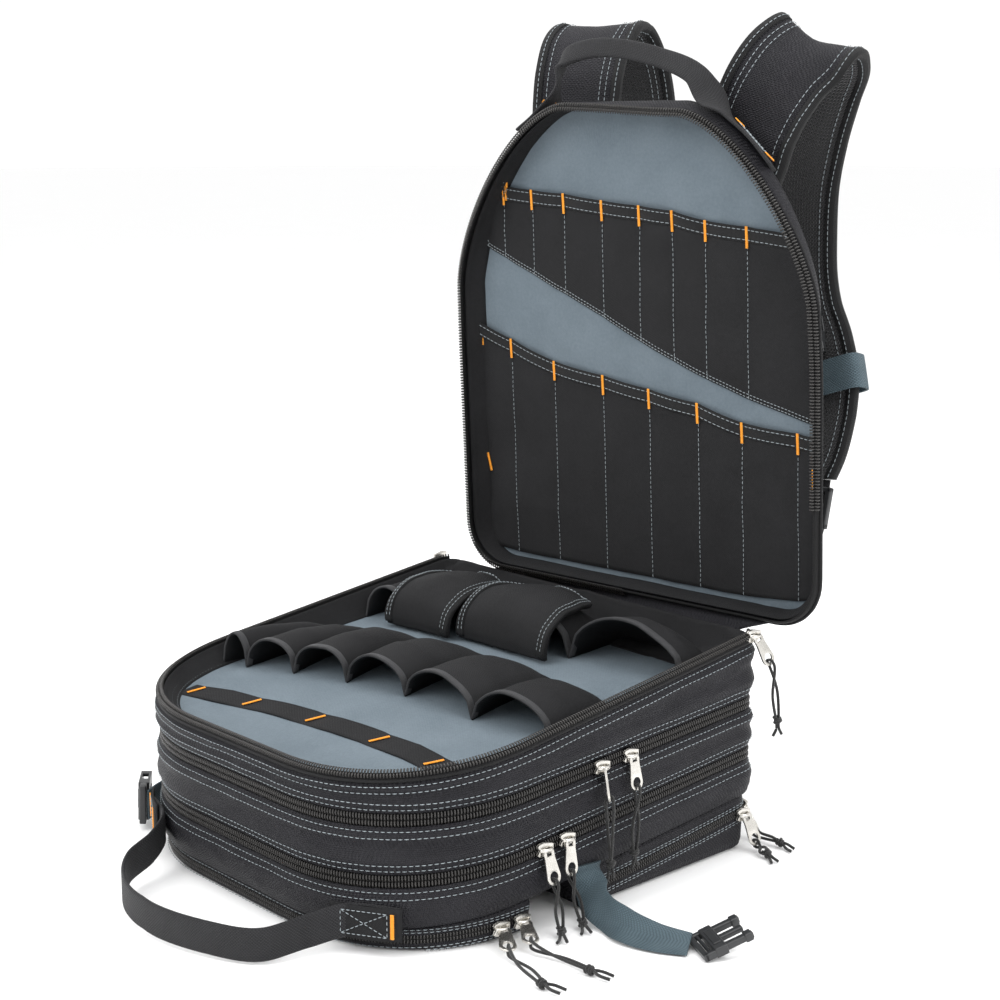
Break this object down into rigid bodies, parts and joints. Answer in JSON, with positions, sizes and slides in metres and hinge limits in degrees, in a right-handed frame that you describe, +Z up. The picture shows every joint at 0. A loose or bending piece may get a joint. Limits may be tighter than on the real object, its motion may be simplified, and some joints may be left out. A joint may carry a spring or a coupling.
{
  "type": "backpack",
  "caption": "Tool backpack lying open: zipped front compartments, pocketed tray, standing back panel with tool pockets, and padded straps.",
  "frame": {"origin": "on the floor, below the middle of the whole object without its pull cords", "axes": "+Z up from the floor, +Y from the near end towards the hinge and the standing back panel, +X to the right seen from the near end"},
  "size_m": [0.5268, 0.5854, 0.6545],
  "materials": {
    "ballistic": "coarse woven nylon, matte with a slight sheen",
    "canvas": "woven charcoal polyester, matte",
    "lining": "smooth woven grey lining, soft sheen",
    "zip": "black zip tape with a nylon coil",
    "webbing": "ribbed black webbing",
    "grey_webbing": "ribbed blue-grey webbing",
    "plastic": "moulded acetal, satin",
    "nickel": "brushed nickel plate",
    "cord": "braided black cord"
  },
  "bodies": {
    "root": {"upper_gusset": "ballistic", "middle_gusset": "ballistic", "upper_zip": "zip", "lower_zip": "zip", "front_shell": "ballistic", "rim_zip": "zip", "bottom_pocket": "ballistic", "bottom_pocket_zip": "zip", "top_pocket": "ballistic", "top_pocket_zip": "zip", "tray_lining": "lining", "near_pocket_row": "canvas", "hinge_pocket_row": "canvas", "flap_left": "canvas", "flap_right": "canvas", "loop_strip": "canvas", "back_panel": "ballistic", "back_panel_zip": "zip", "panel_lining": "lining", "panel_upper_pockets": "canvas", "panel_lower_pockets": "canvas", "grab_handle": "webbing", "top_handle": "webbing", "hinge_cloth": "ballistic", "shoulder_strap_right": "ballistic", "strap_tail_right": "webbing", "strap_adjuster_right": "plastic", "chest_webbing_right": "grey_webbing", "chest_buckle_right": "plastic", "side_strap_right": "grey_webbing", "side_buckle_right": "plastic", "shoulder_strap_left": "ballistic", "strap_tail_left": "webbing", "strap_adjuster_left": "plastic", "chest_webbing_left": "grey_webbing", "chest_buckle_left": "plastic", "side_strap_left": "grey_webbing", "side_buckle_left": "plastic", "slider_rim_right": "nickel", "pull_cord_rim_right": "cord", "slider_rim_left": "nickel", "pull_cord_rim_left": "cord", "slider_upper_a": "nickel", "pull_cord_upper_a": "cord", "slider_upper_b": "nickel", "pull_cord_upper_b": "cord", "slider_lower_a": "nickel", "pull_cord_lower_a": "cord", "slider_lower_b": "nickel", "pull_cord_lower_b": "cord", "slider_top_a": "nickel", "pull_cord_top_a": "cord", "slider_top_b": "nickel", "pull_cord_top_b": "cord", "slider_bottom_a": "nickel", "pull_cord_bottom_a": "cord", "slider_bottom_b": "nickel", "pull_cord_bottom_b": "cord"}
  },
  "joints": []
}
